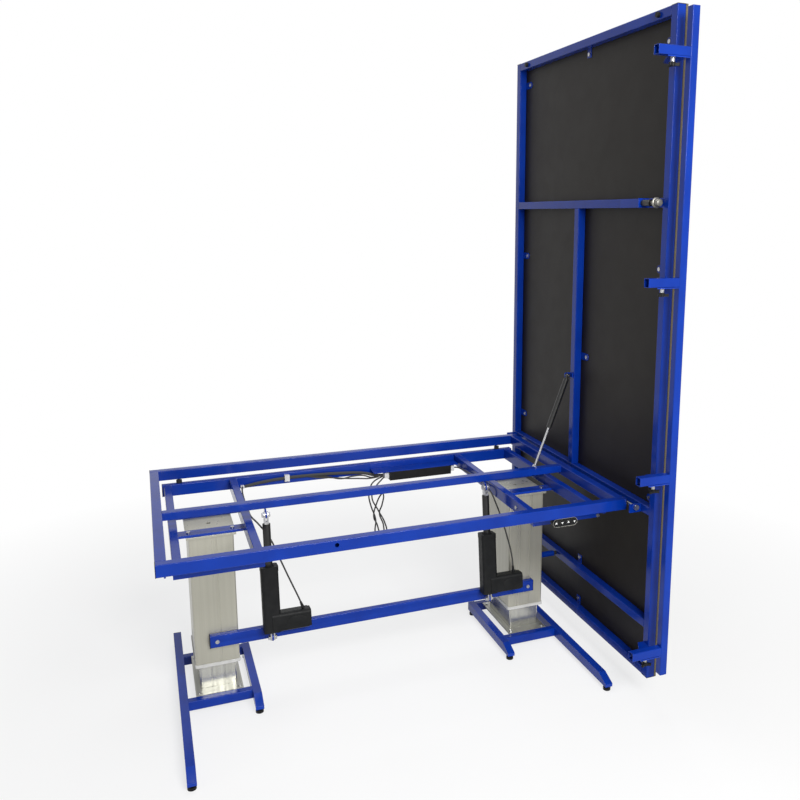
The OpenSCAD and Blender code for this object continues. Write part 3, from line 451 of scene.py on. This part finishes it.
RIM = Moulding("dark_plastic_rim", (0.24, 0.23, 0.21), (0.32, 0.31, 0.28), 800.0, (0.4, 0.5), 0.1)

FINISHES = {finish.name: finish for finish in (
    BLUE, SILVER, POLISHED, PLATE, WHITE, ZINC, KNOB, BLACK_PLASTIC, DARK_PLASTIC, PALE_PLASTIC, RUBBER,
    BLACK_METAL, GREY_METAL, BOARD, SHEATH, MARK, RIM)}

# Nodes whose finish isn't the one named after their slot
OWN_FINISH = {"inner_columns": POLISHED.name, "base_plates": PLATE.name}

# Endings of the variants' names, which Workshop.add strips off a piece's finish name
VARIANTS = ("_mark", "_rim", "_knob")


class Workshop:
    """Keeps the finished materials and turns meshes into pieces that ride on a body."""

    def __init__(self, frame: dict) -> None:
        """Reads the frame.
        """
        self.nodes = frame["nodes"]
        self.slots = {part["node"]: part["material_slot"] for part in frame["record"]["subparts"]}
        self.joints = {joint["name"]: joint for joint in frame["joints"]}
        self.bodies = frame["record"]["behaviour"]["bodies"]
        self.materials = {name: finish.material() for name, finish in FINISHES.items()}

    def dress(self, piece: bpy.types.Object, finish: str) -> None:
        """Gives a piece one material."""
        piece.data.materials.clear()
        piece.data.materials.append(self.materials[finish])

    def add(self, name: str, body: str, mesh: bmesh.types.BMesh, finish: str,
            smooth: float = 35.0) -> bpy.types.Object:
        """Makes a piece from a finished bmesh.

        Args:
            name: the piece's name.
            body: the body that it rides on.
            mesh: its shape, in place in the row frame; it is freed here.
            finish: the name of its material.
            smooth: the angle in degrees up to which faces shade smoothly.

        Returns:
            The piece.
        """
        data = bpy.data.meshes.new(name)
        bmesh.ops.recalc_face_normals(mesh, faces=mesh.faces)
        for edge in mesh.edges:
            if len(edge.link_faces) == 2:
                edge.smooth = edge.calc_face_angle(0.0) < math.radians(smooth)
        for face in mesh.faces:
            face.smooth = True
        mesh.to_mesh(data)
        mesh.free()
        piece = bpy.data.objects.new(name, data)
        bpy.context.scene.collection.objects.link(piece)
        self.dress(piece, finish)
        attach(piece, body)
        slot = finish
        for ending in VARIANTS:
            slot = slot.removesuffix(ending)
        return piece

    def body(self, node: str) -> str:
        """The body that a node rides on."""
        return next(name for name, nodes in self.bodies.items() if node in nodes)

    def centre(self, node: str) -> Vector:
        """The middle of a node's box."""
        low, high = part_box(node)
        return (low + high) / 2


def turned(profile: list[tuple[float, float]], place: Vector, turn: Matrix,
           steps: int = 40) -> bmesh.types.BMesh:
    """A solid of revolution.

    Args:
        profile: radii and heights in metres, from end to end on the axis, or round a closed outline.
        place: where the profile's zero height lies.
        turn: the rotation that turns +Z onto the piece's axis.
        steps: segments round the axis.

    Returns:
        The closed mesh.
    """
    mesh = bmesh.new()
    verts = [mesh.verts.new((radius, 0.0, height)) for radius, height in profile]
    edges = [mesh.edges.new(pair) for pair in zip(verts, verts[1:])]
    bmesh.ops.spin(mesh, geom=verts + edges, cent=(0, 0, 0), axis=(0, 0, 1), dvec=(0, 0, 0),
                   angle=math.tau, steps=steps, use_merge=True, use_duplicate=False)
    bmesh.ops.remove_doubles(mesh, verts=mesh.verts, dist=0.001 * MM)
    bmesh.ops.transform(mesh, matrix=Matrix.Translation(place) @ turn, verts=mesh.verts)
    return mesh


def towards(direction: Vector) -> Matrix:
    """The rotation that turns +Z onto a direction."""
    return direction.to_track_quat("Z", "Y").to_matrix().to_4x4()


@dataclass
class Softener:
    """Breaks the sharp edges of the frame's nodes, as deburring and paint do.

    An edge is sharp where its faces meet at more than corner degrees. Points nearer than weld are
    joined first, because a node's triangles are loose.
    """

    usual: float = 0.45 * MM
    plastic: float = 0.9 * MM
    knob: float = 1.6 * MM
    corner: float = 40.0
    weld: float = 0.01 * MM
    segments: int = 2

    def width(self, node: str, slot: str) -> float:
        """The edge's radius for one node.

        Args:
            node: the node's name.
            slot: its material slot.

        Returns:
            The radius in metres.
        """
        if node.startswith("clamp_knob"):
            return self.knob
        if slot in ("dark_plastic", "light_plastic") and not node.startswith("handset_button"):
            return self.plastic
        return self.usual

    def finish(self, shop: Workshop) -> None:
        """Dresses every node of the frame and breaks its edges.

        Args:
            shop: the workshop.
        """
        for name, node in shop.nodes.items():
            slot = shop.slots[name]
            shop.dress(node, OWN_FINISH.get(name, slot))
            weld = node.modifiers.new("weld", "WELD")
            weld.merge_threshold = self.weld
            bevel = node.modifiers.new("edge", "BEVEL")
            bevel.width = self.width(name, slot)
            bevel.segments = self.segments
            bevel.limit_method = "ANGLE"
            bevel.angle_limit = math.radians(self.corner)
            bevel.miter_outer = "MITER_ARC"
            bevel.harden_normals = False
            node.modifiers.new("normals", "WEIGHTED_NORMAL").keep_sharp = True
            LOG.info("dressed %s in %s", name, slot)


@dataclass
class Cables:
    """The drawn cables, along the routes of the part's source, with their strain reliefs.

    Origin is where the source's zero lies in the row frame. A relief's outline is given in shares
    of the lead's radius, and in distances along the lead from its end.
    """

    origin: Point = (-35.5, 59.5, 0.0)
    bundle_radius: float = 6.5
    lead_radius: float = 3.0
    bundle: tuple[Point, ...] = (
        (-443.6, 424, 646.2), (-380, 424, 656), (-272, 425, 663), (-150, 425, 662),
        (-26, 425, 656), (55, 419, 648), (95, 402, 640), (132.8, 391.6, 637.2))
    left: tuple[Point, ...] = (
        (-452, 418, 646), (-458, 380, 650), (-466, 250, 655), (-467, 100, 657),
        (-465, 10, 660), (-452, -25, 652), (-430, -32, 622), (-408, -36, 585), (-383, -52, 520),
        (-352, -80, 440), (-326, -97, 375), (-312, -103, 336))
    right: tuple[Point, ...] = (
        (530, -103, 337), (526, -94, 400), (512, -74, 480), (494, -48, 560),
        (474, -36, 620), (463, -28, 650), (465, 60, 660), (466, 200, 658), (466, 330, 648),
        (463, 380, 640), (456.8, 388, 638))
    slack: tuple[Point, ...] = (
        (132.2, 377.6, 633.5), (112, 352, 630), (70, 300, 615), (48, 266, 590),
        (70, 254, 535), (98, 252, 475), (104, 250, 435), (92, 250, 415), (76, 252, 435),
        (64, 254, 475), (52, 256, 505), (66, 262, 560), (88, 264, 598), (92, 252, 604),
        (84, 242, 560), (72, 240, 529), (88, 238, 470), (84, 236, 425), (70, 238, 415),
        (54, 240, 440), (56, 242, 500), (38, 246, 560), (32, 254, 598), (50, 300, 618),
        (84, 368, 622), (112, 396, 624), (133.4, 403.4, 628.7))
    loose: tuple[tuple[Point, ...], ...] = (
        ((-190, 425, 660), (-130, 417, 650), (-80, 421, 642), (-30, 412, 636), (25, 410, 630),
         (70, 399, 628), (112, 394, 632)),
        ((-160, 424, 660), (-100, 430, 646), (-45, 420, 634), (5, 418, 640), (48, 406, 642),
         (84, 404, 630), (116, 396, 634)))
    relief_outline: tuple[tuple[float, float], ...] = (
        (0, -2), (2.0, -2), (1.9, 2), (1.35, 22), (1.02, 24), (0, 24))
    relief_steps: int = 24
    round_steps: int = 5
    steps_between: int = 10

    def place(self, point: Point) -> Vector:
        """A route's point in the row frame, in metres."""
        return Vector(point) * MM + Vector(self.origin) * MM

    def draw(self, name: str, route: tuple[Point, ...], radius: float) -> bpy.types.Object:
        """Draws one cable as a smooth tube through its route.

        Args:
            name: the cable's name.
            route: its points in millimetres.
            radius: its radius in millimetres.

        Returns:
            The tube.
        """
        curve = bpy.data.curves.new(name, "CURVE")
        curve.dimensions = "3D"
        curve.bevel_depth = radius * MM
        curve.bevel_resolution = self.round_steps
        curve.resolution_u = self.steps_between
        curve.use_fill_caps = True
        spline = curve.splines.new("BEZIER")
        spline.bezier_points.add(len(route) - 1)
        for knot, point in zip(spline.bezier_points, route):
            knot.co = self.place(point)
            knot.handle_left_type = knot.handle_right_type = "AUTO"
        drawn = bpy.data.objects.new(name, curve)
        bpy.context.scene.collection.objects.link(drawn)
        curve.materials.append(bpy.data.materials[SHEATH.name])
        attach(drawn, "lift")
        return drawn

    def relief(self, shop: Workshop, name: str, end: Point, onward: Point) -> None:
        """Turns the tapered sleeve where a lead leaves its actuator.

        Args:
            shop: the workshop.
            name: the sleeve's name.
            end: the lead's end, in millimetres.
            onward: the next point of its route.
        """
        place = self.place(end)
        turn = towards((self.place(onward) - place).normalized())
        profile = [(share * self.lead_radius * MM, height * MM) for share, height in self.relief_outline]
        shop.add(name, "lift", turned(profile, place, turn, self.relief_steps), BLACK_PLASTIC.name)

    def build(self, shop: Workshop) -> None:
        """Draws the cables and their strain reliefs.

        Args:
            shop: the workshop.
        """
        first = self.draw("cable_bundle", self.bundle, self.bundle_radius)
        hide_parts("cables")
        self.draw("left_actuator_cable", self.left, self.lead_radius)
        self.draw("right_actuator_cable", self.right, self.lead_radius)
        self.draw("slack_cable", self.slack, self.lead_radius)
        for number, route in enumerate(self.loose, start=1):
            self.draw(f"loose_cable_{number}", route, self.lead_radius)
        self.relief(shop, "left_cable_relief", self.left[-1], self.left[-2])
        self.relief(shop, "right_cable_relief", self.right[0], self.right[1])
        LOG.info("drew the cables")


@dataclass
class Latch:
    """The spring plunger's turned shaft and its knob: a flange with a smaller grip in front."""

    flange_radius: float = 18 * MM
    flange_length: float = 6 * MM
    grip_radius: float = 12 * MM
    grip_length: float = 18 * MM
    shaft_radius: float = 6 * MM
    edge: float = 1.2 * MM

    def build(self, shop: Workshop) -> None:
        """Turns the knob and the shaft in one piece on the plunger's axis.

        Args:
            shop: the workshop.
        """
        low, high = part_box("latch_plunger")
        middle = (low + high) / 2
        length = high.y - low.y
        grip, flange, shaft, edge = self.grip_radius, self.flange_radius, self.shaft_radius, self.edge
        rounding, corner, fillet = edge * 2, edge * 0.6, edge * 0.4
        root = self.grip_length + self.flange_length
        profile = [(0, 0), (grip - rounding, 0), (grip - corner, corner), (grip, rounding),
                   (grip, self.grip_length - edge), (grip + fillet, self.grip_length),
                   (flange - edge, self.grip_length), (flange, self.grip_length + edge),
                   (flange, root - edge), (flange - edge, root), (shaft, root),
                   (shaft, length - edge), (shaft - edge, length), (0, length)]
        place = Vector((middle.x, low.y, middle.z))
        mesh = turned(profile, place, towards(Vector((0, 1, 0))), steps=48)
        knob = shop.add("latch_plunger_turned", "latch_plunger", mesh, KNOB.name, smooth=50.0)
        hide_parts("latch_plunger")
        LOG.info("turned the latch knob")


@dataclass
class ClampSleeve:
    """A thin bright sleeve round each clamp knob's neck, under its washer.

    The knobs stand above each other, on one axis at this X and Y. A sleeve starts by neck_root
    above its knob's lowest point.
    """

    axis: tuple[float, float] = (0.7395, -0.6305)
    inner: float = 5.1 * MM
    outer: float = 6.2 * MM
    length: float = 10.5 * MM
    neck_root: float = 12.7 * MM

    def build(self, shop: Workshop) -> None:
        """Turns the four sleeves.

        Args:
            shop: the workshop.
        """
        profile = [(self.inner, 0), (self.outer, 0), (self.outer, self.length), (self.inner, self.length),
                   (self.inner, 0)]
        for number in (1, 2, 3, 4):
            knob = f"clamp_knob_{number}"
            low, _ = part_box(knob)
            place = Vector((*self.axis, low.z + self.neck_root))
            shop.add(f"clamp_sleeve_{number}", knob, turned(profile, place, Matrix.Identity(4)), ZINC.name)
        LOG.info("turned the clamp sleeves")


@dataclass
class Handset:
    """Rim and arrow marks of the handset; the buttons themselves are nodes.

    The rim is the border of a thin disc, whose middle is sunk out of sight by face_sink.
    """

    arrow: float = 5.2 * MM
    thickness: float = 0.25 * MM
    rim_width: float = 1.7 * MM
    rim_rise: float = 0.5 * MM
    face_sink: float = 0.8 * MM
    arrows: tuple[Arrow, ...] = (Arrow.UP, Arrow.DOWN, Arrow.UP, Arrow.DOWN)

    def mark(self, centre: Vector, arrow: Arrow) -> bmesh.types.BMesh:
        """A thin arrowhead in front of a button.

        Args:
            centre: the middle of the button's front face.
            arrow: the way it points.

        Returns:
            The mesh.
        """
        mesh = bmesh.new()
        made = bmesh.ops.create_cone(mesh, cap_ends=True, segments=3, radius1=self.arrow, radius2=self.arrow,
                                     depth=self.thickness)
        spin = Matrix.Rotation(math.radians(arrow.value), 4, "Z")
        upright = Matrix.Rotation(math.pi / 2, 4, "X")
        bmesh.ops.transform(mesh, matrix=Matrix.Translation(centre) @ upright @ spin, verts=made["verts"])
        return mesh

    def rim(self, low: Vector, high: Vector) -> bmesh.types.BMesh:
        """A raised line round the capsule's front.

        Args:
            low: the handset's lowest corner.
            high: its highest corner.

        Returns:
            The mesh.
        """
        mesh = bmesh.new()
        radius = (high.z - low.z) / 2
        reach = (high.x - low.x) / 2 - radius
        bmesh.ops.create_cone(mesh, cap_ends=True, segments=48, radius1=radius, radius2=radius,
                              depth=self.rim_rise * 2)
        for vert in mesh.verts:
            vert.co.x += math.copysign(reach, vert.co.x)
        front = max(mesh.faces, key=lambda face: face.calc_center_median().z)
        bmesh.ops.inset_region(mesh, faces=[front], thickness=self.rim_width)
        bmesh.ops.translate(mesh, vec=(0, 0, -self.face_sink), verts=front.verts)
        place = Vector(((low.x + high.x) / 2, low.y, (low.z + high.z) / 2))
        turn = Matrix.Rotation(math.pi / 2, 4, "X")
        bmesh.ops.transform(mesh, matrix=Matrix.Translation(place) @ turn, verts=mesh.verts)
        return mesh

    def build(self, shop: Workshop) -> None:
        """Adds the marks and the rim.

        Args:
            shop: the workshop.
        """
        shop.add("handset_rim", shop.body("handset_body"), self.rim(*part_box("handset_body")), RIM.name)
        for number, arrow in enumerate(self.arrows, start=1):
            button = f"handset_button_{number}"
            low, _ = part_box(button)
            middle = shop.centre(button)
            front = Vector((middle.x, low.y - self.thickness / 2, middle.z))
            shop.add(f"handset_mark_{number}", button, self.mark(front, arrow), MARK.name)
        LOG.info("marked the handset")


@dataclass
class Actuator:
    """Mouldings on one linear actuator: a wiper ring and an oval pad on its motor cover.

    Places are in the housing's own frame, which stands on its lower pivot and leans with it.
    """

    side: str
    collar_top: float = 265 * MM
    ring_inner: float = 14.2 * MM
    ring_outer: float = 19 * MM
    ring_lip: float = 17.5 * MM
    ring_straight: float = 2.5 * MM
    ring_height: float = 4 * MM
    pad_place: Point = (87 * MM, -30 * MM, 58 * MM)
    pad_size: Point = (36 * MM, 19 * MM, 3 * MM)
    pad_edge: float = 0.8 * MM

    def build(self, shop: Workshop) -> None:
        """Adds the pieces in the housing's own leaning frame.

        Args:
            shop: the workshop.
        """
        turn = shop.joints[f"{self.side}_actuator_turn"]
        stroke = shop.joints[f"{self.side}_actuator_stroke"]
        pivot = Vector(turn["pos_m"])
        along = Vector(stroke["axis"]).normalized()
        lean = Matrix.Rotation(-math.atan2(along.y, along.z), 4, "X")
        local = Matrix.Translation(pivot) @ lean
        ring = [(self.ring_inner, 0), (self.ring_outer, 0), (self.ring_outer, self.ring_straight),
                (self.ring_lip, self.ring_height), (self.ring_inner, self.ring_height),
                (self.ring_inner, 0)]
        body = f"{self.side}_actuator"
        top = local @ Vector((0, 0, self.collar_top))
        shop.add(f"{self.side}_wiper_ring", body, turned(ring, top, lean), BLACK_PLASTIC.name)
        pad = bmesh.new()
        bmesh.ops.create_cone(pad, cap_ends=True, segments=64, radius1=1.0, radius2=1.0, depth=1.0)
        bmesh.ops.scale(pad, vec=self.pad_size, verts=pad.verts)
        half = self.pad_size[2] / 2
        rims = [edge for edge in pad.edges if abs(edge.verts[0].co.z - edge.verts[1].co.z) < half]
        bmesh.ops.bevel(pad, geom=rims, offset=self.pad_edge, segments=3, affect="EDGES", profile=0.5,
                        material=-1)
        face = local @ Matrix.Translation(Vector(self.pad_place)) @ Matrix.Rotation(math.pi / 2, 4, "X")
        bmesh.ops.transform(pad, matrix=face, verts=pad.verts)
        shop.add(f"{self.side}_cover_pad", body, pad, DARK_PLASTIC.name)
        LOG.info("dressed the %s actuator", self.side)


@dataclass(frozen=True)
class Lamp:
    """One soft area lamp: its place, what it points at, its width and height, power and colour."""

    name: str
    place: Point
    target: Point
    size: tuple[float, float]
    watts: float
    colour: Colour

    def hang(self) -> None:
        """Adds the lamp to the scene."""
        data = bpy.data.lights.new(self.name, "AREA")
        data.shape = "RECTANGLE"
        data.size, data.size_y = self.size
        data.energy = self.watts
        data.color = self.colour
        lamp = bpy.data.objects.new(self.name, data)
        lamp.location = self.place
        aim = Vector(self.target) - Vector(self.place)
        lamp.rotation_euler = aim.to_track_quat("-Z", "Y").to_euler()
        bpy.context.scene.collection.objects.link(lamp)


@dataclass
class Studio:
    """Pale floor, soft lamps and the camera at the photograph's angle.

    Right and up are the photograph's directions in the row frame. Principal is the pixel that the
    lens's axis meets, in a picture of image by image pixels. The floor that is seen has plain white
    mixed in: near_white of it up to the first distance of fade from its middle, and nothing else
    from the second on.
    """

    sensor: float = 36.0
    lens: float = 37.27
    sight: float = 60.0
    camera_place: Point = (-0.8215, -2.8916, 1.7412)
    right: Point = (0.9237, -0.3831, 0.0075)
    up: Point = (0.0626, 0.1701, 0.9835)
    principal: tuple[float, float] = (485.1, 369.0)
    image: float = 800.0
    near_white: float = 0.72
    fade: Range = (1.3, 2.7)
    floor_half: float = 9.0
    floor_grey: Range = (0.86, 0.90)
    fill_colour: Colour = (0.90, 0.95, 1.0)
    fill: float = 0.16
    lamps: tuple[Lamp, ...] = (
        Lamp("key", (0.35, -4.0, 2.9), (0.2, -0.2, 0.9), (2.0, 2.0), 225.0, (1.0, 0.99, 0.97)),
        Lamp("edge", (-5.2, -1.8, 1.4), (0.2, -0.2, 1.0), (0.5, 2.4), 20.0, (1.0, 1.0, 1.0)),
        Lamp("top", (0.4, 1.2, 4.6), (0.2, 0.0, 0.9), (2.4, 2.4), 60.0, (0.97, 0.98, 1.0)))

    def camera(self) -> None:
        """Makes the scene's camera."""
        data = bpy.data.cameras.new("camera")
        data.sensor_width = self.sensor
        data.lens = self.lens
        data.shift_x = (self.image / 2 - self.principal[0]) / self.image
        data.shift_y = (self.principal[1] - self.image / 2) / self.image
        data.clip_end = self.sight
        camera = bpy.data.objects.new("camera", data)
        across = Vector(self.right).normalized()
        back = across.cross(Vector(self.up)).normalized()
        upward = back.cross(across)
        turn = Matrix((across, upward, back)).transposed().to_4x4()
        camera.matrix_world = Matrix.Translation(Vector(self.camera_place)) @ turn
        bpy.context.scene.collection.objects.link(camera)
        bpy.context.scene.camera = camera

    def white_for_view(self, tree: bpy.types.NodeTree, shaded: Socket, white: Socket,
                       target: Socket) -> None:
        """Shows one shader to the camera, in gloss and through glass, and another to all else.

        Args:
            tree: the node tree.
            shaded: the shader for diffuse light.
            white: the shader that is seen.
            target: the output's surface.
        """
        path = tree.nodes.new("ShaderNodeLightPath")
        seen = path.outputs["Is Camera Ray"]
        for other in ("Is Glossy Ray", "Is Transmission Ray"):
            either = tree.nodes.new("ShaderNodeMath")
            either.operation = "MAXIMUM"
            tree.links.new(seen, either.inputs[0])
            tree.links.new(path.outputs[other], either.inputs[1])
            seen = either.outputs[0]
        mix = tree.nodes.new("ShaderNodeMixShader")
        tree.links.new(seen, mix.inputs[0])
        tree.links.new(shaded, mix.inputs[1])
        tree.links.new(white, mix.inputs[2])
        tree.links.new(mix.outputs[0], target)

    def world(self) -> None:
        """Gives the world soft light for surfaces and white where it is seen."""
        world = bpy.data.worlds.new("studio")
        world.use_nodes = True
        tree = world.node_tree
        tree.nodes.clear()
        fill = tree.nodes.new("ShaderNodeBackground")
        fill.inputs["Color"].default_value = (*self.fill_colour, 1.0)
        fill.inputs["Strength"].default_value = self.fill
        seen = tree.nodes.new("ShaderNodeBackground")
        seen.inputs["Color"].default_value = (1.0, 1.0, 1.0, 1.0)
        seen.inputs["Strength"].default_value = 1.0
        output = tree.nodes.new("ShaderNodeOutputWorld")
        self.white_for_view(tree, fill.outputs[0], seen.outputs[0], output.inputs["Surface"])
        bpy.context.scene.world = world

    def floor_finish(self) -> bpy.types.Material:
        """Makes the floor's material, which whitens with distance where it is seen.

        Returns:
            The material.
        """
        shader = Shader("floor_pale")
        clouds = shader.noise(scale=2.0, detail=4.0)
        dark, light = self.floor_grey
        tone = shader.ramp(clouds, [(0.2, (dark, dark, dark)), (0.8, (light, light, light))])
        shader.link(tone, shader.surface.inputs["Base Color"])
        shader.surface.inputs["Roughness"].default_value = 0.9
        shader.surface.inputs["Specular IOR Level"].default_value = 0.1
        distance = shader.tree.nodes.new("ShaderNodeVectorMath")
        distance.operation = "LENGTH"
        shader.link(shader.coords.outputs["Object"], distance.inputs[0])
        whiter = shader.mapped(distance.outputs["Value"], self.fade, (self.near_white, 1.0))
        white = shader.tree.nodes.new("ShaderNodeEmission")
        seen = shader.tree.nodes.new("ShaderNodeMixShader")
        shader.link(whiter, seen.inputs[0])
        shader.link(shader.surface.outputs[0], seen.inputs[1])
        shader.link(white.outputs[0], seen.inputs[2])
        self.white_for_view(shader.tree, shader.surface.outputs[0], seen.outputs[0],
                            shader.tree.nodes["Material Output"].inputs["Surface"])
        return shader.material

    def floor(self) -> None:
        """Lays the pale floor."""
        mesh = bmesh.new()
        bmesh.ops.create_grid(mesh, x_segments=1, y_segments=1, size=self.floor_half)
        data = bpy.data.meshes.new("floor")
        mesh.to_mesh(data)
        mesh.free()
        floor = bpy.data.objects.new("floor", data)
        bpy.context.scene.collection.objects.link(floor)
        data.materials.append(self.floor_finish())

    def build(self) -> None:
        """Sets the stage."""
        self.camera()
        self.world()
        self.floor()
        for lamp in self.lamps:
            lamp.hang()
        bpy.context.scene.view_settings.view_transform = "Standard"
        LOG.info("set the stage")


def main() -> None:
    """Loads the frame, dresses it and adds the pieces that only show."""
    logging.basicConfig(level=logging.INFO, format="%(name)s: %(message)s")
    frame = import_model()
    Studio().build()
    shop = Workshop(frame)
    Softener().finish(shop)
    Cables().build(shop)
    Latch().build(shop)
    ClampSleeve().build(shop)
    Handset().build(shop)
    for side in ("left", "right"):
        Actuator(side).build(shop)


if __name__ == "__main__":
    main()
